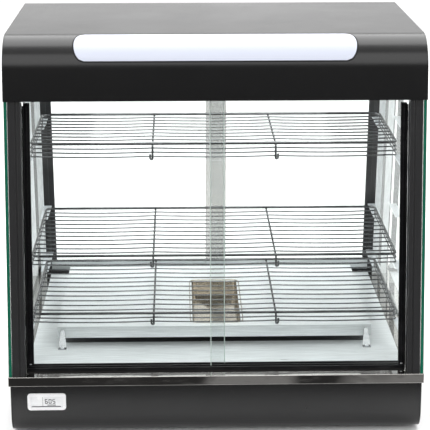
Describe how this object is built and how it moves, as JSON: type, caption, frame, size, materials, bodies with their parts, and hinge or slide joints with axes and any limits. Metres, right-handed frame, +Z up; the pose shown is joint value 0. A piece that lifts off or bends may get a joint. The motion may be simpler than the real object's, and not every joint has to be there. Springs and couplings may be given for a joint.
{
  "type": "hot food display case",
  "caption": "Countertop heated glass display case with a bent hood and lit sign, sliding front and rear doors, wire shelves and a steel base.",
  "frame": {"origin": "on the table under the middle of the case, level with the undersides of the rubber feet", "axes": "+Z up, -Y out of the customer side, +X to the right seen from the customer side"},
  "size_m": [0.66, 0.8445, 0.633],
  "materials": {
    "black_panel": "satin black powder coat",
    "polished_steel": "polished stainless steel",
    "brushed_steel": "fine brushed stainless steel",
    "well_steel": "pale satin steel",
    "shelf_wire": "chrome-plated wire",
    "clear_glass": "clear tempered float glass with green edges",
    "black_plastic": "satin black",
    "sign_white": "white translucent acrylic",
    "lamp_white": "frosted white tube",
    "lamp_holder": "moulded white",
    "heater_sheath": "heat-darkened sheath",
    "bezel_white": "moulded white",
    "display_window": "clear window over a pale scale",
    "rocker_red": "translucent red",
    "pilot_amber": "amber lens",
    "thermostat_body": "moulded",
    "cord_black": "matt black sheath",
    "foot_rubber": "matt"
  },
  "bodies": {
    "case": {"base_front": "black_panel", "base_rear": "black_panel", "base_side_left": "black_panel", "base_side_right": "black_panel", "base_bottom": "brushed_steel", "deck_frame": "polished_steel", "floor_pan": "well_steel", "baffle_plate": "well_steel", "baffle_feet": "brushed_steel", "screws": "brushed_steel", "heating_elements": "heater_sheath", "element_clips": "brushed_steel", "front_post_left": "black_panel", "front_post_right": "black_panel", "rear_post_left": "black_panel", "rear_post_right": "black_panel", "front_pilaster_left": "brushed_steel", "front_pilaster_right": "brushed_steel", "rear_pilaster_left": "brushed_steel", "rear_pilaster_right": "brushed_steel", "side_glass_left": "clear_glass", "side_glass_right": "clear_glass", "hood_cover": "black_panel", "hood_end_left": "black_panel", "hood_end_right": "black_panel", "hood_ceiling": "brushed_steel", "sign_diffuser": "sign_white", "lamp_tube": "lamp_white", "lamp_holders": "lamp_holder", "front_top_track": "black_plastic", "rear_top_track": "black_plastic", "front_bottom_track": "black_plastic", "rear_bottom_track": "black_plastic", "clips_top": "brushed_steel", "clips_middle": "brushed_steel", "clips_lower": "brushed_steel", "thermometer_bezel": "bezel_white", "thermometer_display": "display_window", "thermostat": "thermostat_body", "switch_bezels": "black_plastic", "pilot_lamp": "pilot_amber", "strain_relief": "cord_black", "power_cord": "cord_black", "plug": "cord_black", "rubber_feet": "foot_rubber"},
    "front_door_left": {"front_glass_left": "clear_glass", "front_stile_left": "black_plastic"},
    "front_door_right": {"front_glass_right": "clear_glass", "front_stile_right": "black_plastic"},
    "rear_door_left": {"rear_glass_left": "clear_glass", "rear_stile_left": "black_plastic"},
    "rear_door_right": {"rear_glass_right": "clear_glass", "rear_stile_right": "black_plastic"},
    "top_shelf": {"shelf_top": "shelf_wire"},
    "middle_shelf": {"shelf_middle": "shelf_wire"},
    "lower_shelf": {"shelf_lower": "shelf_wire"},
    "pan": {"water_pan": "brushed_steel"},
    "heat_knob": {"thermostat_knob": "black_plastic"},
    "power_rocker": {"power_switch": "rocker_red"},
    "light_rocker": {"light_switch": "rocker_red"}
  },
  "joints": [
    {"name": "front_left_slide", "type": "slide", "parent": "case", "child": "front_door_left", "axis": [1, 0, 0], "range_m": [0, 0.272]},
    {"name": "front_right_slide", "type": "slide", "parent": "case", "child": "front_door_right", "axis": [1, 0, 0], "range_m": [-0.272, 0]},
    {"name": "rear_left_slide", "type": "slide", "parent": "case", "child": "rear_door_left", "axis": [1, 0, 0], "range_m": [0, 0.272]},
    {"name": "rear_right_slide", "type": "slide", "parent": "case", "child": "rear_door_right", "axis": [1, 0, 0], "range_m": [-0.272, 0]},
    {"name": "top_shelf_lift", "type": "slide", "parent": "case", "child": "top_shelf", "axis": [0, 0, 1], "range_m": [0, 0.025]},
    {"name": "middle_shelf_lift", "type": "slide", "parent": "case", "child": "middle_shelf", "axis": [0, 0, 1], "range_m": [0, 0.025]},
    {"name": "lower_shelf_lift", "type": "slide", "parent": "case", "child": "lower_shelf", "axis": [0, 0, 1], "range_m": [0, 0.025]},
    {"name": "pan_lift", "type": "slide", "parent": "case", "child": "pan", "axis": [0, 0, 1], "range_m": [0, 0.018]},
    {"name": "heat_knob_turn", "type": "hinge", "parent": "case", "child": "heat_knob", "pos_m": [0.15, 0.264, 0.06], "axis": [0, 1, 0], "range_deg": [0, 270]},
    {"name": "power_rock", "type": "hinge", "parent": "case", "child": "power_rocker", "pos_m": [0.215, 0.264, 0.06], "axis": [1, 0, 0], "range_deg": [-6, 6]},
    {"name": "light_rock", "type": "hinge", "parent": "case", "child": "light_rocker", "pos_m": [0.255, 0.264, 0.06], "axis": [1, 0, 0], "range_deg": [-6, 6]}
  ]
}
